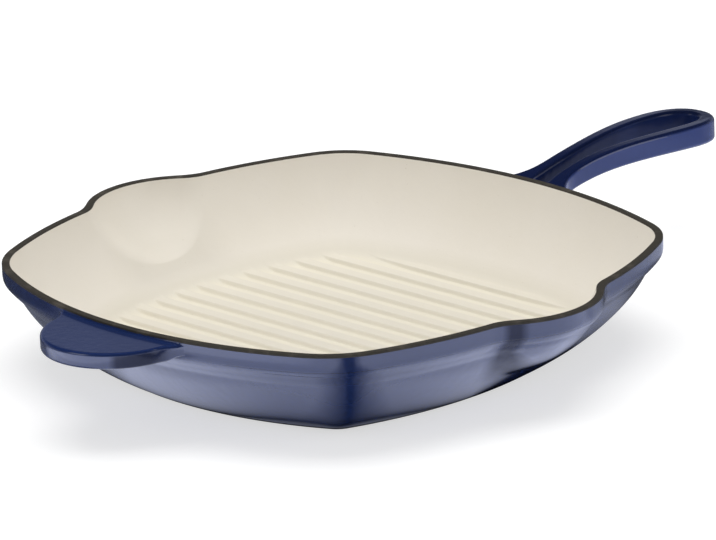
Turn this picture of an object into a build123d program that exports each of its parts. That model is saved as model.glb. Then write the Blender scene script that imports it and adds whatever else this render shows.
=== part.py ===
from build123d import *
from math import asin, cos, degrees, hypot, pi, sin, sqrt
import os

# Square cast-iron grill pan with bowed sides, two pouring spouts, a loop handle and a half-round helper grip.
# +X points along the loop handle, +Y at one spout, +Z up. The origin is the middle of the flat foot's underside.

# Whole pan
mouth = 260.0               # inside the rim, between the middles of opposite sides
pan_height = 47.5           # underside of the foot to the rim
rim_width = 3.4             # flat top of the rim
coat = 0.4                  # thickness of every enamel coat
overrun = 2.0               # how far a cutting tool reaches past what it cuts

# Plan shape, at the inner edge of the rim
handle_side_bow = 262.0     # radius of the side that carries the loop handle
helper_side_bow = 205.0     # radius of the side that carries the helper grip
spout_side_bow = 218.0      # radius of the two sides with spouts
handle_corner = 32.0
helper_corner = 42.0
corner_ease = 6.0           # keeps the corners round where the wall comes in under them

# Lip and wall, as seen in section
lip_height = 7.2            # upright band under the rim
ease_depth = 2.2            # first, shallower chamfer under the band
ease_slope = 0.41           # how far it comes in for each unit of depth
chamfer_depth = 7.0         # second chamfer, which comes in as fast as it goes down
bowl_start = 14.0           # depth at which the chamfer meets the bowl curve
bowl_inset = 6.4            # how far the bowl curve stands in from the rim there
bowl_arc_rise = 16.0        # centre of the outer bowl curve above the rim
bowl_reserve = 6.5          # how far under the foot that curve would come level
foot_height = 1.0
foot_step = 1.2             # the foot stands in from the end of the bowl curve

# Cooking well
well_arc_rise = 25.8        # centre of the inner wall curve above the rim
well_reserve = 3.9          # how far under the foot that curve would come level
base_thickness = 6.5        # foot and floor together
floor_round = 18.0

# Ribs of the floor
rib_pitch = 13.35
rib_side_count = 7          # ribs on each side of the middle one
rib_height = 2.5
rib_foot_width = 7.4
rib_top_width = 5.2
rib_bevel = 0.7

# Spouts: two concentric balls, scooped out of the wall and bulging from it
spout_offset = 6.5          # spouts stand this far towards the loop handle
spout_centre = 103.3        # ball centre from the middle of the pan
spout_ball = 41.0           # radius of the scoop
spout_ball_rise = 11.2      # ball centre above the rim
spout_wall = 4.2
cusp_round = 5.0            # where the spout runs into the side, at the inner edge of the rim
cusp_least = 1.2

# Rim coat
rim_band = 1.2              # how far the dark coat wraps down the outside

# Helper grip
grip_radius = 33.0
grip_drop = 2.0             # top face below the rim
grip_root_round = 9.0
grip_edge = 1.2             # chamfer round its top face

# Loop handle, heights from the rim, stations from the middle of the pan
handle_end = 251.5
root_station = 124.0
root_top = -6.7
root_underside = -15.0
root_half_width = 40.0
root_flare = 12.0           # reach of the concave flare along the handle
root_flare_half_width = 14.5
root_lead = 13.5
neck_station = 155.0
neck_top = 2.4
neck_underside = -7.0
neck_half_width = 10.9
swell_lead = 28.0           # how softly the outline leaves the neck and reaches the shoulder
crown_station = 199.0
crown_top = 6.1
crown_underside = -4.1
shoulder_station = 226.0
shoulder_half_width = 17.1
end_fullness = 0.635        # share of the end's length that its curve stays wide; an ellipse has 0.55
end_top = 4.1
end_underside = -7.7
rail_width = 7.2
rail_bevel = 1.3
slot_start = 137.5
slot_start_half_width = 4.6
slot_lead = 8.0
slot_round = 2.6            # in the corners of its root

# Worked-out places
rim_level = pan_height
half_mouth = mouth / 2
floor_level = base_thickness
spout_sides = (1, -1)
bowl_arc = pan_height + bowl_arc_rise + bowl_reserve
well_arc = pan_height + well_arc_rise + well_reserve
bowl_arc_centre = bowl_inset + sqrt(bowl_arc**2 - (bowl_start + bowl_arc_rise) ** 2)
well_arc_centre = sqrt(well_arc**2 - well_arc_rise**2)
spout_mouth = sqrt(spout_ball**2 - spout_ball_rise**2)
bowl_steps = 4              # between the plan shapes that the bowl is drawn through
wall_steps = 4              # the same down the wall of the well
corner_steps = 2            # and round the corner into its floor


def eased(radius):
    """A corner radius that never falls to nothing when the outline shrinks."""
    return (radius + hypot(radius, 2 * corner_ease)) / 2


def pan_outline(level, grow):
    """Plan shape at a height: the common part of four bowed discs, with rounded corners, grown outward."""
    with BuildSketch(Plane.XY.offset(level)) as plan:
        with Locations(Location((half_mouth - handle_side_bow, 0, 0), (0, 0, 90))):
            Circle(handle_side_bow + grow)
        with Locations(Location((helper_side_bow - half_mouth, 0, 0), (0, 0, 90))):
            Circle(helper_side_bow + grow, mode=Mode.INTERSECT)
        with Locations(Location((0, half_mouth - spout_side_bow, 0), (0, 0, 180))):
            Circle(spout_side_bow + grow, mode=Mode.INTERSECT)
        with Locations(Location((0, spout_side_bow - half_mouth, 0), (0, 0, 180))):
            Circle(spout_side_bow + grow, mode=Mode.INTERSECT)
        fillet(plan.vertices().sort_by(Axis.X)[-2:], eased(handle_corner + grow))
        fillet(plan.vertices().sort_by(Axis.X)[:2], eased(helper_corner + grow))
    return plan.sketch


def spouted_outline(level, grow):
    """The plan shape with both spouts, as it is at the rim."""
    with BuildSketch(Plane.XY.offset(level)) as plan:
        add(pan_outline(0, grow))
        for side in spout_sides:
            with Locations(Location((spout_offset, side * spout_centre, 0), (0, 0, -90 * side))):
                Circle(spout_mouth + grow)
        cusps = plan.vertices().filter_by(
            lambda v: abs(v.Y) > spout_centre and abs(v.X - spout_offset) < spout_mouth + grow
        )
        fillet(cusps, max(cusp_round - grow, cusp_least))
    return plan.sketch


def gripped_outline(level, grow):
    """The plan shape with both spouts and the half-round helper grip."""
    with BuildSketch(Plane.XY.offset(level)) as plan:
        add(spouted_outline(0, grow))
        with Locations(Location((-half_mouth - rim_width, 0, 0), (0, 0, 180))):
            Circle(grip_radius - rim_width + grow)
        roots = plan.vertices().filter_by(lambda v: abs(v.Y) < grip_radius + rim_width and v.X < 0)
        fillet(roots, grip_root_round + rim_width - grow)
    return plan.sketch


def bowl_sections(skin):
    """Depth and outward growth of the plan shapes that the outside of the bowl is drawn through."""
    arc = bowl_arc - skin
    start = asin((bowl_start - overrun + bowl_arc_rise) / arc)
    turn = asin((pan_height - foot_height - skin + bowl_arc_rise) / arc) - start
    angles = [start + turn * n / bowl_steps for n in range(bowl_steps + 1)]
    return [(arc * sin(a) - bowl_arc_rise, rim_width - bowl_arc_centre + arc * cos(a)) for a in angles]


def well_sections(skin):
    """The same for the inside of the well, down its wall curve and round the corner into the floor."""
    wall = well_arc + skin
    corner = floor_round + skin
    corner_depth = rim_level - floor_level - floor_round
    meeting = asin((corner_depth + well_arc_rise) / (well_arc - floor_round))
    corner_grow = (well_arc - floor_round) * cos(meeting) - well_arc_centre
    start = asin((well_arc_rise - overrun) / wall)
    wall_angles = [start + (meeting - start) * n / wall_steps for n in range(wall_steps + 1)]
    corner_angles = [meeting + (pi / 2 - meeting) * n / corner_steps for n in range(1, corner_steps + 1)]
    sections = [(wall * sin(a) - well_arc_rise, wall * cos(a) - well_arc_centre) for a in wall_angles]
    sections += [(corner_depth + corner * sin(a), corner_grow + corner * cos(a)) for a in corner_angles]
    return sections


def spout_balls(radius, cut_height):
    """Lower part of the two spout balls, cut off at a height above the rim."""
    latitude = degrees(asin((cut_height - spout_ball_rise) / radius))
    ball = Sphere(radius, arc_size1=-90, arc_size2=latitude, align=None)
    return [Pos(spout_offset, side * spout_centre, rim_level + spout_ball_rise) * ball for side in spout_sides]


def pan_body(skin):
    """Outside of the pan without its loop handle, filled in solid, smaller all round by a skin."""
    rim_grow = rim_width - skin
    bevel_level = rim_level - grip_drop - grip_edge
    lip_level = rim_level - lip_height
    ease_level = lip_level - ease_depth + skin
    ease_grow = rim_grow - (ease_depth - skin) * ease_slope
    chamfer_level = ease_level - chamfer_depth
    bowl = bowl_sections(skin)
    foot_grow = bowl[-1][1] - foot_step
    band_plan = gripped_outline(bevel_level, rim_grow)
    pieces = [
        # The band with the grip growing out of it, and the first chamfer under both
        extrude(band_plan, amount=lip_level - bevel_level),
        loft([gripped_outline(lip_level, rim_grow), gripped_outline(ease_level, ease_grow)], ruled=True),
        # The second chamfer under the band only
        loft(
            [spouted_outline(ease_level, ease_grow), spouted_outline(chamfer_level, ease_grow - chamfer_depth)],
            ruled=True,
        ),
        loft([pan_outline(rim_level - depth, grow) for depth, grow in bowl]),
        extrude(pan_outline(skin, foot_grow), amount=foot_height + overrun),
        # The bevel round the top of the grip
        loft(
            [band_plan, gripped_outline(bevel_level + grip_edge - skin, rim_grow - grip_edge + skin)],
            ruled=True,
        ),
        *spout_balls(spout_ball + spout_wall - skin, overrun - lip_height),
    ]
    body = extrude(spouted_outline(rim_level - skin, rim_grow), amount=bevel_level - rim_level + skin)
    for piece in pieces:
        body += piece
    return body


def loop_outline(start, start_half_width, flare, flare_half_width, lead, inset, corner_round):
    """Plan shape of the loop handle or of its slot: a flare into the neck, a swell and a full round end."""
    neck = neck_half_width - inset
    shoulder = shoulder_half_width - inset
    end = handle_end - inset
    end_lead = (end - shoulder_station) * end_fullness
    with BuildSketch(Plane.XY.offset(rim_level + crown_top + overrun)) as plan:
        with BuildLine():
            Bezier(
                (start, start_half_width),
                (start + flare, flare_half_width),
                (neck_station - lead, neck),
                (neck_station, neck),
            )
            Bezier(
                (neck_station, neck),
                (neck_station + swell_lead, neck),
                (shoulder_station - swell_lead, shoulder),
                (shoulder_station, shoulder),
            )
            Bezier(
                (shoulder_station, shoulder),
                (shoulder_station + end_lead, shoulder),
                (end, shoulder * end_fullness),
                (end, 0),
            )
            mirror(about=Plane.XZ)
            Line((start, start_half_width), (start, -start_half_width))
        make_face()
        if corner_round:
            fillet(plan.vertices().sort_by(Axis.X)[:2], corner_round)
    return plan.sketch


def loop_side(skin):
    """Side shape of the loop handle."""
    with BuildSketch(Plane.XZ.offset(-root_half_width)) as side:
        with BuildLine():
            top = Spline(
                (root_station, rim_level + root_top - skin),
                (neck_station, rim_level + neck_top - skin),
                (crown_station, rim_level + crown_top - skin),
                (handle_end + overrun, rim_level + end_top - skin),
            )
            under = Spline(
                (root_station, rim_level + root_underside + skin),
                (neck_station, rim_level + neck_underside + skin),
                (crown_station, rim_level + crown_underside + skin),
                (handle_end + overrun, rim_level + end_underside + skin),
            )
            Line(top @ 0, under @ 0)
            Line(top @ 1, under @ 1)
        make_face()
    return side.sketch


def loop_handle(skin):
    """Arched loop handle with bevelled rails round its slot, smaller all round by a skin."""
    outside = loop_outline(
        root_station, root_half_width - skin, root_flare, root_flare_half_width - skin, root_lead, skin, 0
    )
    slot = loop_outline(
        slot_start - skin, slot_start_half_width + skin, slot_lead, neck_half_width - rail_width + skin,
        slot_lead, rail_width - skin, slot_round + skin,
    )
    bar = extrude(loop_side(skin), amount=2 * root_half_width)
    bar &= extrude(outside, amount=-pan_height)
    bar -= extrude(slot, amount=-pan_height)
    long_edges = bar.edges().filter_by(lambda e: min(e.bounding_box().size.X, e.bounding_box().size.Y) > coat)
    return chamfer(long_edges, rail_bevel)


def rib_bars(skin):
    """The ribs as bars that run past the ends of the well, thinner on each side by a skin."""
    floor = floor_level - skin
    top = floor + rib_height
    half_foot = rib_foot_width / 2 - skin
    half_top = rib_top_width / 2 - skin
    with BuildSketch(Plane.XZ.offset(-half_mouth)) as section:
        with BuildLine():
            Polyline(
                (0, floor - overrun), (half_foot, floor - overrun), (half_foot, floor),
                (half_top, top - rib_bevel), (half_top - rib_bevel, top), (0, top),
            )
            mirror(about=Plane.YZ)
        make_face()
    bar = extrude(section.sketch, amount=mouth)
    return [Pos(rib_pitch * n, 0, 0) * bar for n in range(-rib_side_count, rib_side_count + 1)]


def well_body(skin):
    """The cooking well with its two spout scoops, less the ribs, larger all round by a skin."""
    well = loft([pan_outline(rim_level - depth, grow) for depth, grow in well_sections(skin)])
    for ball in spout_balls(spout_ball + skin, overrun):
        well += ball
    for bar in rib_bars(skin):
        well -= bar
    return well


def slab(low, high):
    """A block wider than the whole pan between two heights."""
    reach = 2 * handle_end
    return Pos(0, 0, (low + high) / 2) * Box(reach, reach, high - low)


# Outsides and insides of the enamel and of the iron
glazed_pan = pan_body(0)
bare_pan = pan_body(coat)
glazed_well = well_body(0)
bare_well = well_body(coat)
glazed_outside = glazed_pan + loop_handle(0)
bare_outside = bare_pan + loop_handle(coat)

# Where one coat stops and the next begins
beyond = pan_height + handle_end
over_the_iron = slab(rim_level - coat, beyond)
over_the_foot = slab(foot_height, beyond)
under_the_wall = slab(-overrun, foot_height)
under_the_rim = slab(-overrun, rim_level - rim_band)
rim_zone = extrude(spouted_outline(rim_level - rim_band, rim_width + overrun), amount=beyond)

os.makedirs("parts", exist_ok=True)

with BuildPart() as iron_casting:
    add(bare_outside)
    add(bare_well, mode=Mode.SUBTRACT)
iron_casting.part.label = "iron_casting"
export_step(iron_casting.part, "parts/iron_casting.step")

with BuildPart() as interior_enamel:
    add(bare_well)
    add(glazed_well, mode=Mode.SUBTRACT)
    add(over_the_iron, mode=Mode.SUBTRACT)
interior_enamel.part.label = "interior_enamel"
export_step(interior_enamel.part, "parts/interior_enamel.step")

with BuildPart() as exterior_enamel:
    add(glazed_outside)
    add(bare_outside, mode=Mode.SUBTRACT)
    add(rim_zone, mode=Mode.SUBTRACT)
    add(under_the_wall, mode=Mode.SUBTRACT)
exterior_enamel.part.label = "exterior_enamel"
export_step(exterior_enamel.part, "parts/exterior_enamel.step")

with BuildPart() as underside_enamel:
    add(glazed_pan)
    add(bare_pan, mode=Mode.SUBTRACT)
    add(over_the_foot, mode=Mode.SUBTRACT)
underside_enamel.part.label = "underside_enamel"
export_step(underside_enamel.part, "parts/underside_enamel.step")

with BuildPart() as rim_enamel:
    add(glazed_pan)
    add(bare_pan, mode=Mode.SUBTRACT)
    add(glazed_well, mode=Mode.SUBTRACT)
    add(under_the_rim, mode=Mode.SUBTRACT)
rim_enamel.part.label = "rim_enamel"
export_step(rim_enamel.part, "parts/rim_enamel.step")
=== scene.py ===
import math

import bmesh
import bpy
import numpy as np
from mathutils import Matrix, Vector


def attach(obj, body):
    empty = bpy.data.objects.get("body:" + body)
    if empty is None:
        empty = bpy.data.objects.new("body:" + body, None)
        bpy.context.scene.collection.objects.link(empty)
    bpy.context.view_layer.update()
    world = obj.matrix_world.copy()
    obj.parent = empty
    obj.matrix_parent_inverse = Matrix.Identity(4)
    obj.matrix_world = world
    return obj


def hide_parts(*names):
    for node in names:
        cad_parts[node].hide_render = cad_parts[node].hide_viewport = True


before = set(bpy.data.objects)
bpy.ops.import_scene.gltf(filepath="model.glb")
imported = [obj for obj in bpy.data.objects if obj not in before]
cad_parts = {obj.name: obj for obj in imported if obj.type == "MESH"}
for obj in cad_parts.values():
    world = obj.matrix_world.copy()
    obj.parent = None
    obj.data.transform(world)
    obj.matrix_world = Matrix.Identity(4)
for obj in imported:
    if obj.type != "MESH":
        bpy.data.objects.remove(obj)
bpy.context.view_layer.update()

# Square enamelled grill pan: a cream ribbed well, a dark matte rim, a glossy navy outside, a loop handle and
# a half-round helper grip. Shapes are worked out in millimetres, with depth counted down from the rim, and
# turned into metres when a mesh is made. +X points along the loop handle and both spouts point along Y.

MM = 0.001
MERGE = 0.0001
DIAGONAL = 0.7071

# Whole pan
PAN_HEIGHT = 47.5
RIM_WIDTH = 3.4
RIM_BAND = 1.2
CREAM_EDGE = 0.55
RIM_ROUND = 0.45

# Plan shape at the inner edge of the rim
HALF_MOUTH = 130.0
HANDLE_SIDE_BOW = 262.0
HELPER_SIDE_BOW = 205.0
SPOUT_SIDE_BOW = 218.0
HANDLE_CORNER = 32.0
HELPER_CORNER = 42.0
CORNER_EASE = 6.0

# Band, its two chamfers, bowl and foot
BAND = 7.2
SEAM_DEPTH = 8.3
EASE_SLOPE = 0.41
CHAMFER_TOP = 9.4
CHAMFER_ROUND = 2.4
CHAMFER_FADE = 14.0
CHAMFER_FALL = 0.06
BOWL_START = 14.0
BOWL_INSET = 6.4
BOWL_ARC = 70.0
BOWL_ARC_RISE = 16.0
BOWL_CREASE = 1.6
FOOT_HEIGHT = 1.0
FOOT_STEP = 1.2
FOOT_ROUND = 0.35

# Bare iron, which lies this far under every coat
CORE_SKIN = 0.6

# Cooking well
WELL_ARC = 77.2
WELL_ARC_RISE = 25.8
FLOOR_DEPTH = 41.0
FLOOR_ROUND = 18.0
FLOOR_EDGE = -25.5
FLOOR_TUCK = 0.05
FLOOR_COLUMNS, FLOOR_ROWS = 660, 121

# Ribs
RIB_PITCH = 13.45
RIB_MIDDLE = -0.9
RIB_SIDE_COUNT = 7
RIB_HEIGHT = 1.9
RIB_HALF_FOOT = 3.75
RIB_HALF_TOP = 2.95
RIB_ROUND = 0.9
RIB_ROOT_ROUND = 0.8
RIB_CLIMB_START = -32.5
RIB_CLIMB_END = -29.0

# Spouts
SPOUT_OFFSET = 6.5
SPOUT_CENTRE = 103.3
SPOUT_BALL = 41.0
SPOUT_BALL_RISE = 11.2
SPOUT_OUTER_BALL = 45.2
SPOUT_LIP = 42.8
SPOUT_BALL_TOP = 5.2
SPOUT_INNER_SOFTNESS = 4.4
SPOUT_LIP_SOFTNESS = 5.0
SPOUT_OUTER_SOFTNESS = 8.0

# Helper grip
GRIP_CENTRE = -133.4
GRIP_RADIUS = 32.94
GRIP_TOP = 2.0
GRIP_UNDERSIDE = 9.4
GRIP_ROOT_ROUND = 9.0
GRIP_TOP_ROUND = 1.5
GRIP_UNDER_ROUND = 1.7
GRIP_FAN_CENTRE = -105.0
GRIP_FAN_HALF_ANGLE = 61.0
GRIP_START_TUCK = 1.2
GRIP_FILLET_RISE = 0.8
GRIP_TAIL_ANGLES = (47.0, 59.5)
GRIP_TAIL_RISE = 2.6
GRIP_TAIL_TUCK = 0.5
GRIP_FURTHEST = 80.0

# Loop handle: stations along X, heights above the rim
HANDLE_END = 251.5
ROOT_STATION = 124.0
ROOT_HALF_WIDTH = 40.0
ROOT_FLARE = 12.0
ROOT_FLARE_HALF_WIDTH = 14.5
ROOT_LEAD = 13.5
NECK_STATION = 155.0
NECK_HALF_WIDTH = 10.9
SWELL_LEAD = 28.0
SHOULDER_STATION = 226.0
SHOULDER_HALF_WIDTH = 17.1
END_FULLNESS = 0.635
RAIL_WIDTH = 7.2
RAIL_ROUND = 2.0
SLOT_START = 137.5
SLOT_START_HALF_WIDTH = 4.6
SLOT_LEAD = 8.0
SLOT_ROUND = 2.8
PROFILE_STATIONS = (124.0, 155.0, 199.0, 253.5)
TOP_HEIGHTS = (-6.7, 2.4, 6.09, 4.1)
UNDER_HEIGHTS = (-15.0, -7.0, -4.1, -7.7)

BOWL_END = PAN_HEIGHT - FOOT_HEIGHT
WELL_ARC_CENTRE = math.sqrt(WELL_ARC ** 2 - WELL_ARC_RISE ** 2)
BOWL_ARC_CENTRE = BOWL_INSET + math.sqrt(BOWL_ARC ** 2 - (BOWL_START + BOWL_ARC_RISE) ** 2)
FLOOR_ROUND_DEPTH = FLOOR_DEPTH - FLOOR_ROUND
FLOOR_ROUND_GROW = (
    math.sqrt((WELL_ARC - FLOOR_ROUND) ** 2 - (FLOOR_ROUND_DEPTH + WELL_ARC_RISE) ** 2) - WELL_ARC_CENTRE
)
FLOOR_MEETING = (
    WELL_ARC * (FLOOR_ROUND_GROW + WELL_ARC_CENTRE) / (WELL_ARC - FLOOR_ROUND) - WELL_ARC_CENTRE
)


# Shape arithmetic

def soft_max(a, b, k):
    """The larger of two fields, with a rounded change-over about k wide: max plus k·h·(1-h)."""
    h = np.clip(0.5 + 0.5 * (a - b) / k, 0.0, 1.0)
    return b + (a - b) * h + k * h * (1.0 - h)


def soft_min(a, b, k):
    """The smaller of two fields, rounded in the same way."""
    return -soft_max(-a, -b, k)


def ramp(value, low, high):
    """0 below low, 1 above high and a smooth 3t²-2t³ between."""
    t = np.clip((value - low) / (high - low), 0.0, 1.0)
    return t * t * (3.0 - 2.0 * t)


def root_along(field, low, high, steps=34):
    """Where a rising field crosses zero between two arrays of bounds, by halving."""
    low, high = np.array(low, float), np.array(high, float)
    for _ in range(steps):
        middle = 0.5 * (low + high)
        beyond = field(middle) > 0
        high = np.where(beyond, middle, high)
        low = np.where(beyond, low, middle)
    return 0.5 * (low + high)


def plan_grow(x, y):
    """How far the mouth outline has to grow to pass through each point.

    The outline is the common part of bowed discs with rounded corners: the distance to the discs shrunk by
    the corner radius, or to the point where two of them cross, less that radius. The radius itself depends on
    the growth, so the value is improved by its own remainder until it settles."""
    y = np.abs(y)
    far = x > 0
    bow = np.where(far, HANDLE_SIDE_BOW, HELPER_SIDE_BOW)
    centre_x = np.where(far, HALF_MOUTH - HANDLE_SIDE_BOW, HELPER_SIDE_BOW - HALF_MOUTH)
    centre_y = HALF_MOUTH - SPOUT_SIDE_BOW
    nominal = np.where(far, HANDLE_CORNER, HELPER_CORNER)
    side = np.where(far, 1.0, -1.0)
    apart = np.hypot(centre_x, centre_y)
    along_x, along_y = -centre_x / apart, centre_y / apart
    from_end = np.hypot(x - centre_x, y)
    from_spout_side = np.hypot(x, y - centre_y)
    grow = np.zeros(np.broadcast(x, y).shape)
    for _ in range(10):
        wanted = nominal + grow
        radius = 0.5 * (wanted + np.sqrt(wanted ** 2 + 4.0 * CORNER_EASE ** 2))
        end_radius = bow + grow - radius
        side_radius = SPOUT_SIDE_BOW + grow - radius
        reach = (end_radius ** 2 - side_radius ** 2 + apart ** 2) / (2.0 * apart)
        rise = np.sqrt(np.maximum(end_radius ** 2 - reach ** 2, 0.0)) * side
        cross_x = centre_x + reach * along_x - rise * along_y
        cross_y = reach * along_y + rise * along_x
        dx, dy = x - cross_x, y - cross_y
        end_nx, end_ny = (cross_x - centre_x) / end_radius, cross_y / end_radius
        side_nx, side_ny = cross_x / side_radius, (cross_y - centre_y) / side_radius
        turn = (end_nx * side_ny - end_ny * side_nx) * side
        past_end = (end_nx * dy - end_ny * dx) * side
        past_side = (dx * side_ny - dy * side_nx) * side
        corner = (turn > 0) & (past_end > 0) & (past_side > 0)
        flat = np.maximum(from_end - end_radius, from_spout_side - side_radius)
        grow = grow + np.where(corner, np.hypot(dx, dy), flat) - radius
    return grow


def wall_depth(grow):
    """Depth of the well by growth of the plan: the wall's arc, a rounded corner and the flat floor."""
    wall = np.sqrt(np.maximum(WELL_ARC ** 2 - (grow + WELL_ARC_CENTRE) ** 2, 0.0)) - WELL_ARC_RISE
    corner = FLOOR_ROUND_DEPTH + np.sqrt(np.maximum(FLOOR_ROUND ** 2 - (grow - FLOOR_ROUND_GROW) ** 2, 0.0))
    inside = np.where(grow > FLOOR_MEETING, wall, corner)
    return np.where(grow < FLOOR_ROUND_GROW, FLOOR_DEPTH, inside)


def well_grow(depth):
    """Growth of the plan at each depth down the well's wall and round its corner: wall_depth turned round."""
    wall = np.sqrt(np.maximum(WELL_ARC ** 2 - (depth + WELL_ARC_RISE) ** 2, 0.0)) - WELL_ARC_CENTRE
    round_depth = np.clip(depth - FLOOR_ROUND_DEPTH, 0.0, FLOOR_ROUND)
    corner = FLOOR_ROUND_GROW + np.sqrt(FLOOR_ROUND ** 2 - round_depth ** 2)
    return np.where(wall > FLOOR_MEETING, wall, corner)


def ball_radius(radius, depth):
    """Radius of the circle that a depth cuts from a spout ball, and negative under the ball."""
    square = radius ** 2 - (depth + SPOUT_BALL_RISE) ** 2
    return np.sign(square) * np.sqrt(np.abs(square))


def well_field(x, y, depth):
    """Negative inside the well at a depth: the plan shape joined softly to circles cut from both balls."""
    well = plan_grow(x, y) - well_grow(depth)
    scoop = np.hypot(x - SPOUT_OFFSET, np.abs(y) - SPOUT_CENTRE) - ball_radius(SPOUT_BALL, depth)
    return soft_min(well, scoop, SPOUT_INNER_SOFTNESS)


def ribbed_depth(x, y):
    """Depth of the floor with its ribs, rounded trapeziums that run along Y and end at the floor's corner."""
    grow = plan_grow(x, y)
    bare = wall_depth(grow)
    along = x - RIB_MIDDLE
    nearest = np.clip(np.round(along / RIB_PITCH), -RIB_SIDE_COUNT, RIB_SIDE_COUNT)
    off = np.abs(along - nearest * RIB_PITCH)
    height = RIB_HEIGHT * (1.0 - ramp(grow, RIB_CLIMB_START, RIB_CLIMB_END))
    flank = (RIB_HALF_FOOT - off) * RIB_HEIGHT / (RIB_HALF_FOOT - RIB_HALF_TOP)
    crest = np.maximum(FLOOR_DEPTH - RIB_HEIGHT, bare - height)
    level = np.minimum(crest, bare)
    rib = level + RIB_HEIGHT - soft_min(flank, RIB_HEIGHT, RIB_ROUND)
    fade = RIB_ROOT_ROUND * np.clip(height / RIB_HEIGHT, 0.02, 1.0)
    return soft_min(bare, rib, fade)


def chamfer_inset(depth):
    """How far the outside leans in below the band: a gentle slope, 45 degrees, then a fall with the square."""
    ease = EASE_SLOPE * soft_max(depth - BAND, 0.0 * depth, CHAMFER_ROUND)
    chamfer = (1.0 - EASE_SLOPE) * soft_max(depth - CHAMFER_TOP, 0.0 * depth, CHAMFER_ROUND)
    return ease + chamfer + CHAMFER_FALL * np.maximum(depth - CHAMFER_FADE, 0.0) ** 2


def outside_grow(depth):
    """Growth of the plan at each depth outside: an upright band, a 45 degree chamfer and the bowl arc."""
    band = RIM_WIDTH - chamfer_inset(depth)
    bowl = RIM_WIDTH - BOWL_ARC_CENTRE + np.sqrt(BOWL_ARC ** 2 - (depth + BOWL_ARC_RISE) ** 2)
    return soft_max(band, bowl, BOWL_CREASE * ramp(depth, CHAMFER_TOP, BOWL_START) + MM)


def spout_reach(depth):
    """Radius of a spout at each depth outside: its lip and chamfer, then the ball under them."""
    band = SPOUT_LIP - chamfer_inset(depth)
    ball = ball_radius(SPOUT_OUTER_BALL, depth)
    ball = np.where(depth > SPOUT_BALL_TOP, ball, -SPOUT_LIP)
    return soft_max(band, ball, BOWL_CREASE * ramp(depth, CHAMFER_TOP, BOWL_START) + MM)


def outside_field(x, y, depth):
    """Negative inside the pan at a depth: the plan shape joined softly to both spouts."""
    pan = plan_grow(x, y) - outside_grow(depth)
    spout = np.hypot(x - SPOUT_OFFSET, np.abs(y) - SPOUT_CENTRE) - spout_reach(depth)
    below_lip = ramp(depth, CHAMFER_TOP, BOWL_START)
    softness = SPOUT_LIP_SOFTNESS + (SPOUT_OUTER_SOFTNESS - SPOUT_LIP_SOFTNESS) * below_lip
    return soft_min(pan, spout, softness)


# Mesh making

def grid_quads(rows, columns, wrap=False):
    """Corner numbers of a grid's quads, row by row; wrap joins the last column to the first."""
    across = columns if wrap else columns - 1
    r, c = np.meshgrid(np.arange(rows - 1), np.arange(across), indexing="ij")
    near, following = (r * columns + c).ravel(), (r * columns + (c + 1) % columns).ravel()
    return np.stack([near, following, following + columns, near + columns], axis=1)


def make_piece(name, points, quads, material, slot):
    """A smooth mesh from millimetre points with depths below the rim; it stands for its slot's CAD node."""
    places = np.array(points, float).reshape(-1, 3)
    places[:, 2] = PAN_HEIGHT - places[:, 2]
    mesh = bpy.data.meshes.new(name)
    mesh.vertices.add(len(places))
    mesh.vertices.foreach_set("co", (places * MM).ravel())
    mesh.loops.add(quads.size)
    mesh.loops.foreach_set("vertex_index", quads.ravel().astype(np.int32))
    mesh.polygons.add(len(quads))
    mesh.polygons.foreach_set("loop_start", np.arange(0, quads.size, 4, dtype=np.int32))
    mesh.update(calc_edges=True)
    work = bmesh.new()
    work.from_mesh(mesh)
    bmesh.ops.remove_doubles(work, verts=work.verts, dist=MERGE * MM)
    work.to_mesh(mesh)
    work.free()
    mesh.validate()
    mesh.polygons.foreach_set("use_smooth", np.ones(len(mesh.polygons), bool))
    mesh.update()
    piece = bpy.data.objects.new(name, mesh)
    bpy.context.scene.collection.objects.link(piece)
    mesh.materials.append(material)
    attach(piece, "root")
    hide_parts(slot)
    return piece


# Shader arithmetic

class Value:
    """A number that varies over a surface; arithmetic on it adds Math nodes."""

    def __init__(self, nodes, socket):
        self.nodes = nodes
        self.socket = socket

    def math(self, operation, *terms, clamp=False):
        """A Math node with the given terms, in this value's node tree."""
        settings = {"operation": operation, "use_clamp": clamp}
        made = self.nodes.node("ShaderNodeMath", settings, dict(enumerate(terms)))
        return Value(self.nodes, made.outputs[0])

    def __add__(self, other):
        return self.math("ADD", self, other)

    __radd__ = __add__

    def __sub__(self, other):
        return self.math("SUBTRACT", self, other)

    def __rsub__(self, other):
        return self.math("SUBTRACT", other, self)

    def __mul__(self, other):
        return self.math("MULTIPLY", self, other)

    __rmul__ = __mul__

    def __truediv__(self, other):
        return self.math("DIVIDE", self, other)

    def __pow__(self, other):
        return self.math("POWER", self, other)

    def __neg__(self):
        return self.math("MULTIPLY", self, -1.0)

    def __abs__(self):
        return self.math("ABSOLUTE", self)

    def above_zero(self):
        return self.math("MAXIMUM", self, 0.0)

    def clamped(self):
        return self.math("ADD", self, 0.0, clamp=True)

    def step(self, low, high):
        """0 below low, 1 above high, straight between."""
        return ((self - low) / (high - low)).clamped()

    def fade(self, low, high):
        """1 below low, 0 above high, straight between."""
        return 1.0 - self.step(low, high)

    def between(self, rise, full, fall, end):
        """0 outside rise and end, 1 between full and fall, straight in the two gaps."""
        return self.step(rise, full) * self.fade(fall, end)

    def choose(self, yes, no):
        """The first number where this value is 1, the second where it is 0."""
        return self * yes + (1.0 - self) * no


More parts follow.
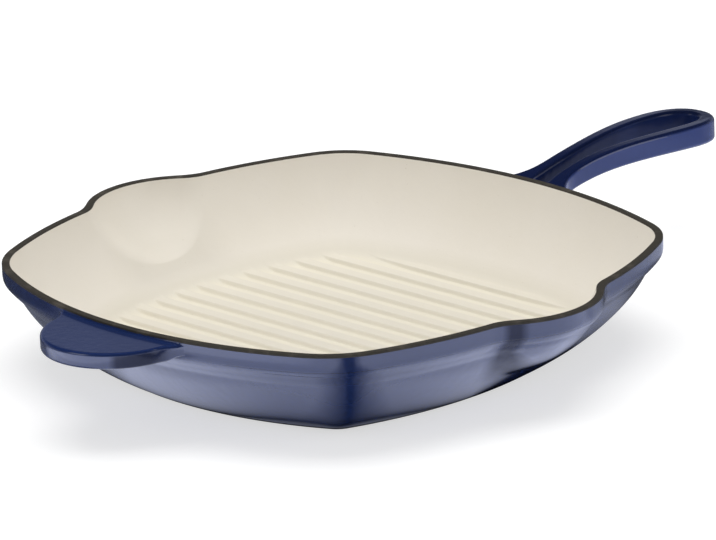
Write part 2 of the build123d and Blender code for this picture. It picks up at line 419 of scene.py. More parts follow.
class Nodes:
    """A node tree, with one way to add any node and short ways to the few that are used often."""

    def __init__(self, tree):
        self.tree = tree
        self.tree.nodes.clear()

    def join(self, source, socket):
        if isinstance(source, Value):
            source = source.socket
        if isinstance(source, bpy.types.NodeSocket):
            self.tree.links.new(source, socket)
        else:
            socket.default_value = source

    def node(self, kind, settings=None, inputs=None):
        """Adds a node, sets its settings first and then joins or sets its sockets."""
        node = self.tree.nodes.new(kind)
        for name, value in (settings or {}).items():
            setattr(node, name, value)
        for name, value in (inputs or {}).items():
            self.join(value, node.inputs[name])
        return node

    def rays(self):
        """Flags that are 1 for rays straight from the camera, and for rays mirrored in the glaze."""
        path = self.node("ShaderNodeLightPath")
        return Value(self, path.outputs["Is Camera Ray"]), Value(self, path.outputs["Is Glossy Ray"])

    def along(self, vector, letter):
        """One coordinate of a vector."""
        return Value(self, self.node("ShaderNodeSeparateXYZ", inputs={"Vector": vector}).outputs[letter])

    def blend(self, factor, first, second):
        """A colour between two colours."""
        settings = {"data_type": "RGBA", "clamp_factor": True}
        return self.node("ShaderNodeMix", settings, {0: factor, 6: first, 7: second}).outputs[2]


class Paint(Nodes):
    """A material, with the patterns that the finishes here need."""

    def __init__(self, name):
        self.material = bpy.data.materials.new(name)
        self.material.use_nodes = True
        super().__init__(self.material.node_tree)
        self.place = self.node("ShaderNodeTexCoord").outputs["Object"]

    def axis(self, letter):
        """One coordinate of the surface point, in metres."""
        return self.along(self.place, letter)

    def upward(self):
        """How far the surface faces up: 1 on a level top, 0 on an upright side, -1 underneath."""
        return self.along(self.node("ShaderNodeTexCoord").outputs["Normal"], "Z")

    def noise(self, size, detail=2.0, roughness=0.5, stretch=(1.0, 1.0, 1.0)):
        """Noise of a grain size in metres, as a value round one half; stretch lengthens it on an axis."""
        scaled = self.node(
            "ShaderNodeVectorMath", {"operation": "MULTIPLY"},
            {0: self.place, 1: tuple(1.0 / (size * s) for s in stretch)},
        ).outputs[0]
        made = self.node(
            "ShaderNodeTexNoise",
            inputs={"Vector": scaled, "Scale": 1.0, "Detail": detail, "Roughness": roughness},
        )
        return Value(self, made.outputs[0])

    def bump(self, height, distance):
        return self.node("ShaderNodeBump", inputs={"Height": height, "Distance": distance}).outputs[0]

    def surface(self, shader):
        """Closes the material with a shader node."""
        self.node("ShaderNodeOutputMaterial", inputs={"Surface": shader.outputs[0]})
        return self.material

    def finish(self, **sockets):
        """Closes the material with a Principled shader; its sockets are named with underscores for spaces."""
        inputs = {name.replace("_", " "): value for name, value in sockets.items()}
        return self.surface(self.node("ShaderNodeBsdfPrincipled", inputs=inputs))


def rgb(red, green, blue):
    """A colour socket's value from screen levels out of 255."""
    levels = np.array([red, green, blue]) / 255.0
    linear = np.where(levels <= 0.04045, levels / 12.92, ((levels + 0.055) / 1.055) ** 2.4)
    return (*(float(v) for v in linear), 1.0)


# Finishes

def cream_glaze():
    """Satin cream enamel with faint fine specks, and painted shade: a little darker on the ribs and in the
    spouts' hollows.
    """
    paint = Paint("cream_glaze")
    height = paint.axis("Z")
    floor = (PAN_HEIGHT - FLOOR_DEPTH) * MM
    # Painted shade on the ribs: they are coloured a little darker than the floor between them, standing in for
    # the shading on their sides.
    rib = height.step(floor + 0.2 * MM, floor + RIB_HEIGHT * MM)
    wall = height.step(floor + 3.0 * MM, floor + 8.0 * MM)
    from_spout_x, from_spout_y = paint.axis("X") - SPOUT_OFFSET * MM, abs(paint.axis("Y")) - SPOUT_CENTRE * MM
    # Painted shade in the spouts' hollows: the cream there is coloured a little darker, where shade falls in
    # them.
    hollow_shade = ((from_spout_x ** 2.0 + from_spout_y ** 2.0) ** 0.5).fade(0.020, 0.038)
    cloud = paint.noise(0.035, detail=3.0)
    body = paint.blend(rib, rgb(228, 222, 205), rgb(222, 216, 202))
    body = paint.blend(wall, body, rgb(231, 225, 214))
    body = paint.blend(hollow_shade * wall, body, rgb(222, 216, 204))
    body = paint.blend((cloud - 0.35) * 0.5, body, rgb(222, 214, 196))
    speck = paint.noise(0.0009, detail=1.0).step(0.76, 0.82)
    peel = paint.noise(0.0035, detail=2.0)
    return paint.finish(
        Base_Color=paint.blend(speck * 0.35, body, rgb(176, 160, 132)),
        Roughness=(0.42 + 0.10 * paint.noise(0.012)).clamped(),
        Coat_Weight=0.08,
        Coat_Roughness=0.2,
        Normal=paint.bump(peel, 0.00005),
    )


def navy_body(paint):
    """Colour of the navy enamel: clouded, and bluer low on the wall."""
    low = paint.axis("Z").fade(0.004, 0.026)
    cloud = paint.noise(0.028, detail=3.0)
    return paint.blend(low * 0.8, paint.blend(cloud, rgb(22, 37, 80), rgb(29, 47, 94)), rgb(30, 55, 114))


def navy_finish(paint, body, coat, groove=0.0):
    """Closes a navy enamel: the coat carries the gloss, over an orange peel, upright runs and any groove."""
    peel = paint.noise(0.0042, detail=2.0)
    runs = paint.noise(0.0032, detail=1.0, stretch=(1.0, 1.0, 5.0))
    return paint.finish(
        Base_Color=body,
        Roughness=(0.20 + 0.08 * paint.noise(0.02)).clamped(),
        Specular_IOR_Level=0.25,
        Coat_Weight=coat,
        Coat_Roughness=0.09,
        Normal=paint.bump(peel * 0.35 + runs * 0.50 - groove, 0.00030),
    )


def navy_wall_glaze():
    """Navy of the wall: painted shade, darker and less glossy, in the creases beside the spouts, with the
    mould's seam below the band.
    """
    paint = Paint("navy_wall")
    east, north, height = paint.axis("X"), paint.axis("Y"), paint.axis("Z")
    # Painted shade in the concave creases beside the spouts: the colour goes dark and the coat thins there.
    under_band = height.fade(0.020, 0.032)
    crease = abs(abs(east - SPOUT_OFFSET * MM) - (0.0285 - 0.0080 * under_band))
    width = 0.0045 + 0.0080 * under_band
    crease_shade = (1.0 - (crease - 0.4 * width) / (0.8 * width)).clamped() * abs(north).step(0.112, 0.120)
    seam_height = (PAN_HEIGHT - SEAM_DEPTH) * MM
    worn = paint.noise(0.024, detail=1.0).step(0.36, 0.52)
    seam = abs(height - seam_height).fade(0.0, 0.00024) * worn
    beside_corner = ((east - north) * DIAGONAL).between(-0.034, -0.026, -0.006, -0.002)
    second_seam = abs(height - seam_height + 0.0021).fade(0.0, 0.00022) * beside_corner * 0.7
    lines = seam + second_seam
    shoulder = height.between(0.0310, 0.0335, 0.0370, 0.0390)
    body = paint.blend(crease_shade * 0.9, navy_body(paint), rgb(9, 18, 48))
    body = paint.blend(lines * 0.8, body, rgb(8, 13, 34))
    coat = (1.0 - 0.9 * crease_shade - 0.6 * lines - 0.35 * shoulder).clamped()
    return navy_finish(paint, body, coat, groove=0.45 * lines)


def navy_loop_glaze():
    """Navy of the loop handle: painted light and shade, brighter on its upright sides and darker on top, with
    painted shade inside the slot, dark and dull.
    """
    paint = Paint("navy_loop")
    east, north = paint.axis("X"), paint.axis("Y")
    # Painted shade inside the slot: dark colour and a thin coat between the rails.
    opening = 0.0037 + 0.0062 * east.step(0.160, 0.226)
    inside = (abs(north) - opening - 0.0006).fade(0.0, 0.0018) * east.step(0.136, 0.142)
    # Painted light and shade: the upright sides are coloured brighter and the tops darker, for how the light
    # falls on them.
    body = paint.blend(paint.upward().step(0.15, 0.7), rgb(42, 61, 124), rgb(15, 26, 62))
    return navy_finish(paint, paint.blend(inside * 0.7, body, rgb(8, 16, 40)), 1.0 - 0.9 * inside)


def navy_grip_glaze():
    """Navy of the helper grip: painted shade, dark and dull, round its roots where it meets the wall."""
    paint = Paint("navy_grip")
    # Painted shade at the roots: the sides and underside near the wall are coloured dark and given a thin
    # coat.
    root = abs(paint.axis("Y")).between(0.0215, 0.0240, 0.0315, 0.0350) * paint.axis("Z").fade(0.0438, 0.0448)
    return navy_finish(paint, paint.blend(root * 0.9, navy_body(paint), rgb(9, 18, 48)), 1.0 - 0.9 * root)


def rim_matte():
    """Bare-looking matte rim coat: warm dark grey with a fine grain and small lighter rubs."""
    paint = Paint("rim_matte")
    grain = paint.noise(0.0011, detail=3.0, roughness=0.6)
    rub = paint.noise(0.009, detail=3.0).step(0.54, 0.74)
    dark = paint.blend(grain, rgb(46, 43, 38), rgb(68, 64, 57))
    return paint.finish(
        Base_Color=paint.blend(rub * 0.5, dark, rgb(92, 86, 77)),
        Roughness=(0.66 + 0.2 * grain - 0.12 * rub).clamped(),
        Specular_IOR_Level=0.3,
        Normal=paint.bump(grain, 0.00010),
    )


def foot_dull():
    """Dull dark coat of the foot, rubbed lighter in streaks where the pan slides."""
    paint = Paint("foot_dull")
    grain = paint.noise(0.0016, detail=3.0)
    streak = paint.noise(0.006, detail=3.0, stretch=(7.0, 1.0, 1.0)).step(0.52, 0.72)
    dark = paint.blend(grain, rgb(38, 41, 54), rgb(54, 57, 70))
    return paint.finish(
        Base_Color=paint.blend(streak * 0.45, dark, rgb(104, 104, 106)),
        Roughness=(0.5 + 0.25 * grain - 0.1 * streak).clamped(),
        Normal=paint.bump(grain, 0.00008),
    )


def cast_iron():
    """Sand-cast iron under the enamel: dark grey, grainy and half metallic."""
    paint = Paint("bare_iron")
    grain = paint.noise(0.0014, detail=4.0, roughness=0.65)
    return paint.finish(
        Base_Color=paint.blend(grain, rgb(48, 48, 50), rgb(78, 77, 76)),
        Metallic=(0.6 + 0.3 * grain).clamped(),
        Roughness=(0.5 + 0.3 * grain).clamped(),
        Normal=paint.bump(grain, 0.00025),
    )


cream = cream_glaze()
navy_wall = navy_wall_glaze()
navy_loop = navy_loop_glaze()
navy_grip = navy_grip_glaze()
rim_dark = rim_matte()
foot_dark = foot_dull()
iron = cast_iron()


# Surfaces of the pan

# Rays from the middle of the pan, on which the wall, the rim and the outside all have their columns
COLUMNS = 1200
NEAREST, FURTHEST = 60.0, 165.0
angles = np.linspace(0.0, 2.0 * np.pi, COLUMNS, endpoint=False)
ray_x, ray_y = np.cos(angles)[None, :], np.sin(angles)[None, :]


def on_rays(distance):
    """Plan coordinates at distances along the rays."""
    return distance * ray_x, distance * ray_y


def edge_along(field, depth):
    """Distance along each ray to where a field is zero at an array of depths, one row for each depth."""
    level = np.asarray(depth, float)[:, None]
    rows = (len(level), COLUMNS)

    def out(distance):
        return field(*on_rays(distance), level)
    return root_along(out, np.full(rows, NEAREST), np.full(rows, FURTHEST))


def well_edge(depth):
    """Distance along each ray to the well's side."""
    return edge_along(well_field, depth)


def outside_edge(depth):
    """Distance along each ray to the outside."""
    return edge_along(outside_field, depth)


def layered(distances, levels):
    """Points of a grid from distances along the rays and depths."""
    x, y = on_rays(distances)
    return np.stack(np.broadcast_arrays(x, y, levels), axis=-1)


def well_floor():
    """Ribbed floor: a line of points along Y for each X, as long as the floor is there, with ribbed_depth."""
    reach = HALF_MOUTH + FLOOR_EDGE
    x = reach * np.sin(np.linspace(-np.pi / 2, np.pi / 2, FLOOR_COLUMNS))[None, :]

    def beyond(y):
        return plan_grow(x, y) - FLOOR_EDGE
    half_length = root_along(beyond, 0.0 * x, 0.0 * x + HALF_MOUTH)
    share = np.sin(np.linspace(-np.pi / 2, np.pi / 2, FLOOR_ROWS))[:, None]
    y = share * half_length
    x = np.broadcast_to(x, y.shape)
    points = np.stack([x, y, ribbed_depth(x, y)], axis=-1)
    return points, grid_quads(*y.shape)


def well_wall():
    """Wall and spouts: a row for each depth from under the floor's edge to where the rim's coat begins."""
    low = float(wall_depth(np.array(FLOOR_EDGE - 1.0)))
    depth = np.concatenate([
        np.linspace(low, 31.0, 14), np.linspace(30.6, 24.0, 26), np.linspace(23.5, CREAM_EDGE, 40),
    ])
    side = well_edge(depth)
    tuck = FLOOR_TUCK * (1.0 - ramp(low - depth, 0.1, 0.9))[:, None]
    points = layered(side, depth[:, None] + tuck)
    return points, grid_quads(len(points), COLUMNS, wrap=True)


def rim_ring():
    """Rim: over the rounded inner edge, across the flat top, over a small rounding and down the outside."""
    edge = well_edge([CREAM_EDGE])
    start = well_edge([0.0]) + CREAM_EDGE
    lift = np.linspace(0.0, np.pi / 2, 6)[:-1, None]
    inner = edge + (start - edge) * (1.0 - np.cos(lift))
    inner_depth = CREAM_EDGE * (1.0 - np.sin(lift))
    outer = outside_edge([0.0])
    flat = outer - RIM_ROUND
    share = np.linspace(0.0, 1.0, 7)[:, None]
    top = start + (flat - start) * share
    turn = np.linspace(0.0, np.pi / 2, 6)[1:, None]
    over = flat + RIM_ROUND * np.sin(turn)
    over_depth = RIM_ROUND * (1.0 - np.cos(turn))
    side = np.repeat(outer, 2, axis=0)
    side_depth = np.array([[0.5 * (RIM_ROUND + RIM_BAND)], [RIM_BAND]])
    points = np.concatenate([
        layered(inner, inner_depth), layered(top, 0.0 * top),
        layered(over, over_depth), layered(side, side_depth),
    ])
    return points, grid_quads(len(points), COLUMNS, wrap=True)


def outer_wall():
    """Outside of the pan from the rim band to the foot, one row of the pan's section for each depth."""
    depth = np.concatenate([
        np.linspace(RIM_BAND, 6.4, 6), np.linspace(6.8, 17.0, 26), np.linspace(17.8, BOWL_END, 36),
    ])
    points = layered(outside_edge(depth), depth[:, None])
    return points, grid_quads(len(points), COLUMNS, wrap=True)


def foot_slab():
    """Foot: a step in under the bowl, a short upright side with a rounded edge, and the flat underside."""
    outer = outside_edge([BOWL_END])
    side = outer - FOOT_STEP
    turn = np.linspace(0.0, np.pi / 2, 5)[:, None]
    edge = side - FOOT_ROUND * (1.0 - np.cos(turn))
    edge_depth = PAN_HEIGHT - FOOT_ROUND * (1.0 - np.sin(turn))
    share = np.linspace(1.0, 0.0, 9)[1:, None]
    under = (side - FOOT_ROUND) * share
    points = np.concatenate([
        layered(outer, BOWL_END), layered(side, BOWL_END),
        layered(edge, edge_depth), layered(under, PAN_HEIGHT),
    ])
    return points, grid_quads(len(points), COLUMNS, wrap=True)


def round_union(a, b, radius):
    """Two fields joined with a circular fillet of a radius between them."""
    u, v = np.maximum(radius - a, 0.0), np.maximum(radius - b, 0.0)
    return np.maximum(radius, np.minimum(a, b)) - np.hypot(u, v)


def grip(skin=0.0):
    """Half-round helper grip: a fan of sections from inside the lip, over a rounded edge and back underneath.

    Towards both ends of the fan the underside rises and the edge goes in: the tails end in the lip."""
    fan = np.radians(np.linspace(-GRIP_FAN_HALF_ANGLE, GRIP_FAN_HALF_ANGLE, 260))[None, :]
    dir_x, dir_y = -np.cos(fan), np.sin(fan)

    def lip(distance):
        return plan_grow(GRIP_FAN_CENTRE + distance * dir_x, distance * dir_y) - RIM_WIDTH

    def edge_field(distance):
        x, y = GRIP_FAN_CENTRE + distance * dir_x, distance * dir_y
        disc = np.hypot(x - GRIP_CENTRE, y) - GRIP_RADIUS
        return round_union(plan_grow(x, y) - RIM_WIDTH, disc, GRIP_ROOT_ROUND)
    start = root_along(lip, 0.0 * fan, 0.0 * fan + GRIP_FURTHEST) - GRIP_START_TUCK
    tail = ramp(np.degrees(np.abs(fan)), *GRIP_TAIL_ANGLES)
    underside = GRIP_UNDERSIDE - GRIP_TAIL_RISE * tail
    edge = root_along(edge_field, 0.0 * fan, 0.0 * fan + GRIP_FURTHEST) - skin - GRIP_TAIL_TUCK * tail ** 4
    width = edge - start
    top_round = np.minimum(GRIP_TOP_ROUND, 0.5 * width)
    under_round = np.minimum(GRIP_UNDER_ROUND, 0.5 * width)
    turn = np.linspace(0.0, np.pi / 2, 9)[1:, None]
    share = np.linspace(0.0, 1.0, 40)[:, None] ** 1.3
    top = start + (width - top_round) * share
    top_edge = edge - top_round * (1.0 - np.sin(turn))
    under_edge = edge - under_round * (1.0 - np.cos(turn))
    under = start + (width - under_round) * share[::-1]
    distance = np.concatenate([top, top_edge, under_edge, under])
    depth = np.concatenate([
        GRIP_TOP + 0.0 * top,
        GRIP_TOP + top_round * (1.0 - np.cos(turn)),
        underside - under_round * (1.0 - np.sin(turn)),
        underside + 0.0 * under,
    ])
    x, y = GRIP_FAN_CENTRE + distance * dir_x, distance * dir_y
    gap = np.clip(plan_grow(x, y) - RIM_WIDTH, 0.0, GRIP_TOP_ROUND)
    fillet = GRIP_TOP_ROUND - np.sqrt(GRIP_TOP_ROUND ** 2 - (GRIP_TOP_ROUND - gap) ** 2)
    on_top = depth < GRIP_TOP + 0.01
    depth = np.where(on_top, depth - GRIP_FILLET_RISE * fillet, depth)
    middle = 0.5 * (GRIP_TOP + GRIP_UNDERSIDE)
    depth = middle + (depth - middle) * (1.0 - skin / (middle - GRIP_TOP))
    points = np.stack([x, y, depth], axis=-1)
    return points, grid_quads(*distance.shape)


def core():
    """Bare iron, one closed turn: along the floor, up the well, over the rim and down to the foot."""
    well_rows = np.concatenate([np.linspace(FLOOR_DEPTH - 0.1, 30.0, 12), np.linspace(29.0, 0.0, 20)])
    outer_rows = np.concatenate([np.linspace(CORE_SKIN, 18.0, 14), np.linspace(19.0, BOWL_END, 16)])
    well = well_edge(well_rows) + CORE_SKIN
    outside = outside_edge(outer_rows) - CORE_SKIN
    share = np.linspace(0.0, 1.0, 6)[:, None]
    foot = outside[-1:] - FOOT_STEP
    points = np.concatenate([
        layered(well[:1] * share, FLOOR_DEPTH + CORE_SKIN), layered(well, well_rows[:, None] + CORE_SKIN),
        layered(outside, outer_rows[:, None]),
        layered(foot, BOWL_END), layered(foot * share[::-1], PAN_HEIGHT - CORE_SKIN),
    ])[:, ::4]
    return points, grid_quads(*points.shape[:2], wrap=True)


def bezier(a, b, c, d, t):
    """Points of the cubic curve with four control points."""
    t = t[:, None]
    a, b, c, d = (np.array(p, float) for p in (a, b, c, d))
    return (1 - t) ** 3 * a + 3 * t * (1 - t) ** 2 * b + 3 * t * t * (1 - t) * c + t ** 3 * d


def loop_end(inset):
    """Control points of the loop's full round end, or of the slot's end at an inset."""
    end, shoulder = HANDLE_END - inset, SHOULDER_HALF_WIDTH - inset
    lead = (end - SHOULDER_STATION) * END_FULLNESS
    return [
        (SHOULDER_STATION, shoulder), (SHOULDER_STATION + lead, shoulder),
        (end, shoulder * END_FULLNESS), (end, 0),
    ]


def loop_curves():
    """Half of the loop handle's outer outline and of its slot, point for point, from the root to the tip."""
    neck, shoulder = NECK_HALF_WIDTH, SHOULDER_HALF_WIDTH
    root = [(ROOT_STATION, ROOT_HALF_WIDTH), (ROOT_STATION + ROOT_FLARE, ROOT_FLARE_HALF_WIDTH),
            (NECK_STATION - ROOT_LEAD, neck), (NECK_STATION, neck)]
    swell = [(NECK_STATION, neck), (NECK_STATION + SWELL_LEAD, neck),
             (SHOULDER_STATION - SWELL_LEAD, shoulder), (SHOULDER_STATION, shoulder)]
    slot_root = [(SLOT_START, SLOT_START_HALF_WIDTH), (SLOT_START + SLOT_LEAD, neck - RAIL_WIDTH),
                 (NECK_STATION - SLOT_LEAD, neck - RAIL_WIDTH), (NECK_STATION, neck - RAIL_WIDTH)]
    web, corner, run, bulge, tip = 40, 34, 46, 90, 80
    web_end, corner_end, side_start, end_share = 0.34, 0.56, 0.12, 0.45
    t_web = np.linspace(0.0, web_end, web, endpoint=False)
    t_corner = np.linspace(web_end, corner_end, corner, endpoint=False)
    t_run = np.linspace(corner_end, 1.0, run, endpoint=False)
    t_bulge = np.linspace(0.0, 1.0, bulge, endpoint=False)
    t_tip = np.linspace(0.0, 1.0, tip)
    outer = np.concatenate([
        bezier(*root, np.concatenate([t_web, t_corner, t_run])), bezier(*swell, t_bulge),
        bezier(*loop_end(0.0), t_tip),
    ])
    # The slot's root: up the middle of the web, along the slot's end and round its corner
    middle = np.stack([np.linspace(ROOT_STATION, SLOT_START, web, endpoint=False), np.zeros(web)], 1)
    first_side = bezier(*slot_root, np.array([side_start]))[0]
    straight = np.array([[SLOT_START, 0.0], [SLOT_START, first_side[1] - SLOT_ROUND]])
    s = np.linspace(0.0, 1.0, corner, endpoint=False)
    up = straight[0] + (straight[1] - straight[0]) * np.clip(s / end_share, 0, 1)[:, None]
    bend = bezier(straight[1], (SLOT_START, first_side[1]), (SLOT_START, first_side[1]), first_side,
                  np.clip((s - end_share) / (1 - end_share), 0, 1))
    root_end = np.where((s < end_share)[:, None], up, bend)
    slot_run = bezier(*slot_root, np.linspace(side_start, 1.0, run, endpoint=False))
    slot_swell = bezier(*[(x, y - RAIL_WIDTH) for x, y in swell], t_bulge)
    inner = np.concatenate([middle, root_end, slot_run, slot_swell, bezier(*loop_end(RAIL_WIDTH), t_tip)])
    return outer, inner, web


def through(stations, heights, x):
    """The cubic that passes through four heights, by Lagrange's formula."""
    total = 0.0 * x
    for i, height in enumerate(heights):
        weight = np.ones_like(x)
        for j, station in enumerate(stations):
            if j != i:
                weight = weight * (x - station) / (stations[i] - station)
        total = total + height * weight
    return total


def nearest_edge(x, y, curve):
    """Distance from points to the nearest point of a finely divided curve or of its mirror image."""
    flat_x, flat_y = x.ravel()[:, None], np.abs(y).ravel()[:, None]
    away = np.hypot(flat_x - curve[None, :, 0], flat_y - curve[None, :, 1]).min(axis=1)
    return away.reshape(x.shape)


def finely(curve, count=900):
    """The same curve with points evenly spaced along its length."""
    steps = np.hypot(*np.diff(curve, axis=0).T)
    length = np.concatenate([[0.0], np.cumsum(steps)])
    even = np.linspace(0.0, length[-1], count)
    return np.stack([np.interp(even, length, curve[:, 0]), np.interp(even, length, curve[:, 1])], 1)


def loop_half(skin):
    """One rail of the loop, smaller by a skin: sections from slot to outline, rounded near open edges."""
    outer, inner, web = loop_curves()
    share = 0.5 - 0.5 * np.cos(np.linspace(0.0, np.pi, 31))[:, None]
    margin = skin / np.hypot(*(outer - inner).T)[None, :]
    share = margin + (1.0 - 2.0 * margin) * share
    share[:, :web] = share[:, :web] - margin[:, :web] * (1.0 - share[:, :web])
    x = inner[None, :, 0] + (outer - inner)[None, :, 0] * share
    y = inner[None, :, 1] + (outer - inner)[None, :, 1] * share
    outline, slot = finely(outer), finely(inner[web:])
    near = np.minimum(nearest_edge(x, y, outline), nearest_edge(x, y, slot)) - skin
    near[-1, :] = 0.0
    near[0, web:] = 0.0
    near = np.clip(near, 0.0, RAIL_ROUND)
    drop = RAIL_ROUND - np.sqrt(RAIL_ROUND ** 2 - (RAIL_ROUND - near) ** 2)
    top = -(through(PROFILE_STATIONS, TOP_HEIGHTS, x) - drop - skin)
    under = -(through(PROFILE_STATIONS, UNDER_HEIGHTS, x) + drop + skin)
    upright = np.linspace(0.0, 1.0, 6)[1:-1, None]
    outer_side = top[-1:] + (under[-1:] - top[-1:]) * upright
    slot_side = under[:1] + (top[:1] - under[:1]) * upright
    xs = np.concatenate([x, np.repeat(x[-1:], 4, 0), x[::-1], np.repeat(x[:1], 4, 0)])
    ys = np.concatenate([y, np.repeat(y[-1:], 4, 0), y[::-1], np.repeat(y[:1], 4, 0)])
    zs = np.concatenate([top, outer_side, under[::-1], slot_side])
    deep = np.clip(zs, 0.0, FLOOR_DEPTH)
    in_wall = 0.5 * (well_grow(deep) + outside_grow(deep))
    xs = np.maximum(xs, HALF_MOUTH - HANDLE_SIDE_BOW + np.sqrt((HANDLE_SIDE_BOW + in_wall) ** 2 - ys ** 2))
    points = np.stack([xs, ys, zs], axis=-1)
    rows, columns = xs.shape
    looped = np.concatenate([np.arange(rows), [0]])
    quads = grid_quads(rows + 1, columns)
    quads = looped[quads // columns] * columns + quads % columns
    return points.reshape(-1, 3), quads


def loop_handle(skin=0.0):
    """Both rails, the second mirrored across the middle plane, without the wall between them inside."""
    points, quads = loop_half(skin)
    mirrored = points * np.array([1.0, -1.0, 1.0])
    both = np.concatenate([points, mirrored])
    faces = np.concatenate([quads, quads[:, ::-1] + len(points)])
    inside = (np.abs(both[faces, 1]) < 1e-6).all(axis=1)
    return both, faces[~inside]


shapes = [
    ("ribbed_floor", well_floor(), False, cream, "interior_enamel"),
    ("well_wall", well_wall(), True, cream, "interior_enamel"),
    ("rim_coat", rim_ring(), True, rim_dark, "rim_enamel"),
    ("outer_wall", outer_wall(), True, navy_wall, "exterior_enamel"),
    ("foot", foot_slab(), True, foot_dark, "underside_enamel"),
    ("helper_grip", grip(), False, navy_grip, "exterior_enamel"),
    ("loop_handle", loop_handle(), False, navy_loop, "exterior_enamel"),
    ("iron_pan", core(), True, iron, "iron_casting"),
    ("iron_grip", grip(CORE_SKIN), False, iron, "iron_casting"),
    ("iron_loop", loop_handle(CORE_SKIN), False, iron, "iron_casting"),
]
for name, (points, quads), turned, material, slot in shapes:
    make_piece(name, points, quads[:, ::-1] if turned else quads, material, slot)

# Floor, world and lamps

FLOOR_REACH = 4.0
FLOOR_LEVEL = -0.0004
FLOOR_GLOW = 0.62
POOL_LIGHT = 1.35
BACK_SHARE = 0.12
DIFFUSE_SKY = 0.38
MIRRORED_HORIZON = 0.44
MIRRORED_TOP = 0.02
WHITE = (1.0, 1.0, 1.0, 1.0)
COOL_REFLECTOR = (0.72, 0.77, 1.0, 1.0)


def pools_of_light(floor):
    """How brightly the floor shines in the glaze: two pools beside the pan, like soft boxes laid on the floor.

    A dark strip parts them in front of the near corner and widens outwards. They are dim behind the pan, past
    the loop, past the grip and at the far corner, dimmer under the grip and beside the near spout's right
    flank, and a little brighter beyond the grip. They fade out close to the foot, sooner by the near spout."""
    east, north = floor.axis("X"), floor.axis("Y")
    aside = (east - north) * DIAGONAL
    ahead = ((east + north) * -DIAGONAL - 0.10).above_zero()
    past_strip = abs(aside - (0.004 + 0.20 * ahead)) - (0.008 + 0.09 * ahead)
    back = (0.46 * east + 0.888 * north).step(-0.08, 0.0) * east.step(-0.02, 0.06)
    behind = 1.0 - back * (1.0 - BACK_SHARE) * (1.0 - 0.6 * east.step(0.17, 0.21))
    past_loop = 1.0 - 0.50 * east.step(0.29, 0.35)
    past_grip = 1.0 - 0.80 * north.step(0.140, 0.165)
    far_corner = 1.0 - 0.90 * north.step(0.030, 0.070) * (-east).fade(0.165, 0.205)
    below_grip = 1.0 - 0.80 * (-east).between(0.130, 0.140, 0.190, 0.215) * abs(north - 0.03).fade(0.03, 0.05)
    right_flank = 1.0 - 0.50 * (east + north).step(-0.100, -0.060) * east.step(0.0, 0.04)
    beyond_grip = 1.0 + 0.45 * (-east).step(0.232, 0.250)
    around = behind * past_loop * past_grip * far_corner * below_grip * right_flank * beyond_grip
    square = (east ** 4.0 + north ** 4.0) ** 0.25
    outward = square - 0.014 * abs(east - 0.030).fade(0.012, 0.040)
    nearness = 1.25 * outward.step(0.092, 0.120) + 0.40 * outward.step(0.14, 0.24)
    under_foot = 0.10 * square.fade(0.0900, 0.0925)
    return past_strip.step(-0.010, 0.014) * around * nearness + under_foot


def pale_floor():
    """Floor that is white to the camera but for the pan's shadow, and lit in pools for the glaze alone."""
    floor = Paint("pale_floor")
    direct, mirrored = floor.rays()
    shade = floor.blend(mirrored, (0.86, 0.86, 0.86, 1.0), (0.02, 0.02, 0.02, 1.0))
    shade = floor.blend(direct, shade, (0.50, 0.50, 0.50, 1.0))
    matte = floor.node("ShaderNodeBsdfDiffuse", inputs={"Color": shade})
    glow = floor.node("ShaderNodeEmission", inputs={
        "Color": floor.blend(mirrored, WHITE, COOL_REFLECTOR),
        "Strength": direct * FLOOR_GLOW + mirrored * pools_of_light(floor) * POOL_LIGHT,
    })
    return floor.surface(floor.node("ShaderNodeAddShader", inputs={0: matte.outputs[0], 1: glow.outputs[0]}))


floor_mesh = bpy.data.meshes.new("studio_floor")
floor_mesh.from_pydata(
    [(x * FLOOR_REACH, y * FLOOR_REACH, FLOOR_LEVEL) for x, y in ((-1, -1), (1, -1), (1, 1), (-1, 1))],
    [], [(0, 1, 2, 3)],
)
floor_mesh.materials.append(pale_floor())
studio_floor = bpy.data.objects.new("studio_floor", floor_mesh)
bpy.context.scene.collection.objects.link(studio_floor)

# World: white to the camera, and in the glaze a tall reflector that darkens upwards
world = bpy.data.worlds.new("studio")
bpy.context.scene.world = world
world.use_nodes = True
sky = Nodes(world.node_tree)
direct, mirrored = sky.rays()
height = sky.along(sky.node("ShaderNodeTexCoord").outputs["Generated"], "Z")
reflector = MIRRORED_HORIZON - (MIRRORED_HORIZON - MIRRORED_TOP) * height.step(0.05, 0.50)
background = sky.node("ShaderNodeBackground", inputs={
    "Color": sky.blend(mirrored, WHITE, COOL_REFLECTOR),
    "Strength": direct.choose(1.0, mirrored.choose(reflector, DIFFUSE_SKY)),
})
sky.node("ShaderNodeOutputWorld", inputs={"Surface": background.outputs[0]})


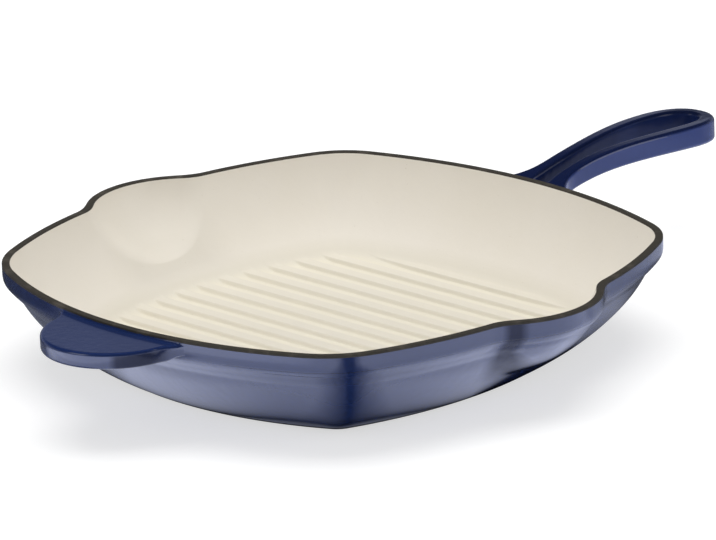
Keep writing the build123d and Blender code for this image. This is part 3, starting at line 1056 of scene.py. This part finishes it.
def lamp(name, place, target, size, power):
    """A soft box at a place, aimed at a target."""
    light = bpy.data.lights.new(name, "AREA")
    light.shape = "RECTANGLE"
    light.size, light.size_y = size
    light.energy = power
    holder = bpy.data.objects.new(name, light)
    bpy.context.scene.collection.objects.link(holder)
    away = Vector(place) - Vector(target)
    holder.rotation_euler = away.to_track_quat("Z", "Y").to_euler()
    holder.location = place
    return holder


overhead = lamp("overhead_box", (0.15, 0.15, 1.5), (0.0, 0.0, 0.0), (1.6, 1.2), 19.6)
overhead.visible_glossy = False
lamp("left_box", (-1.7, 0.5, 1.0), (0.0, 0.0, 0.03), (0.9, 0.9), 4.0)
lamp("right_box", (0.9, -1.6, 0.8), (0.0, 0.0, 0.03), (0.9, 0.9), 4.0)

# Camera at the photograph's angle, found by fitting the rim, spouts, ribs and handles
CAMERA_AZIMUTH = math.radians(-44.9442)
CAMERA_ELEVATION = math.radians(18.2384)
CAMERA_DISTANCE = 3289.945
CAMERA_ROLL = math.radians(-2.2367)
CAMERA_TARGET = (-12.632, -30.427, PAN_HEIGHT)
CAMERA_FOCAL_PIXELS = 7402.13
PHOTO_WIDTH = 716
SENSOR = 36.0


def photo_camera():
    """Camera on a sphere round its target, level but for the photograph's small roll."""
    ca, sa = math.cos(CAMERA_AZIMUTH), math.sin(CAMERA_AZIMUTH)
    ce, se = math.cos(CAMERA_ELEVATION), math.sin(CAMERA_ELEVATION)
    back = Vector((sa * ce, -ca * ce, se))
    right = Vector((ca, sa, 0.0))
    up = back.cross(right)
    cr, sr = math.cos(CAMERA_ROLL), math.sin(CAMERA_ROLL)
    turned_right = right * cr + up * sr
    turned_up = up * cr - right * sr
    lens = bpy.data.cameras.new("photo_camera")
    lens.sensor_fit = "HORIZONTAL"
    lens.sensor_width = SENSOR
    lens.lens = CAMERA_FOCAL_PIXELS * SENSOR / PHOTO_WIDTH
    lens.clip_end = 50.0
    holder = bpy.data.objects.new("photo_camera", lens)
    bpy.context.scene.collection.objects.link(holder)
    turn = Matrix((turned_right, turned_up, back)).transposed().to_4x4()
    place = Vector(CAMERA_TARGET) * MM + back * CAMERA_DISTANCE * MM
    holder.matrix_world = Matrix.Translation(place) @ turn
    return holder


bpy.context.scene.camera = photo_camera()
bpy.context.scene.view_settings.view_transform = "Standard"

bpy.context.view_layer.update()
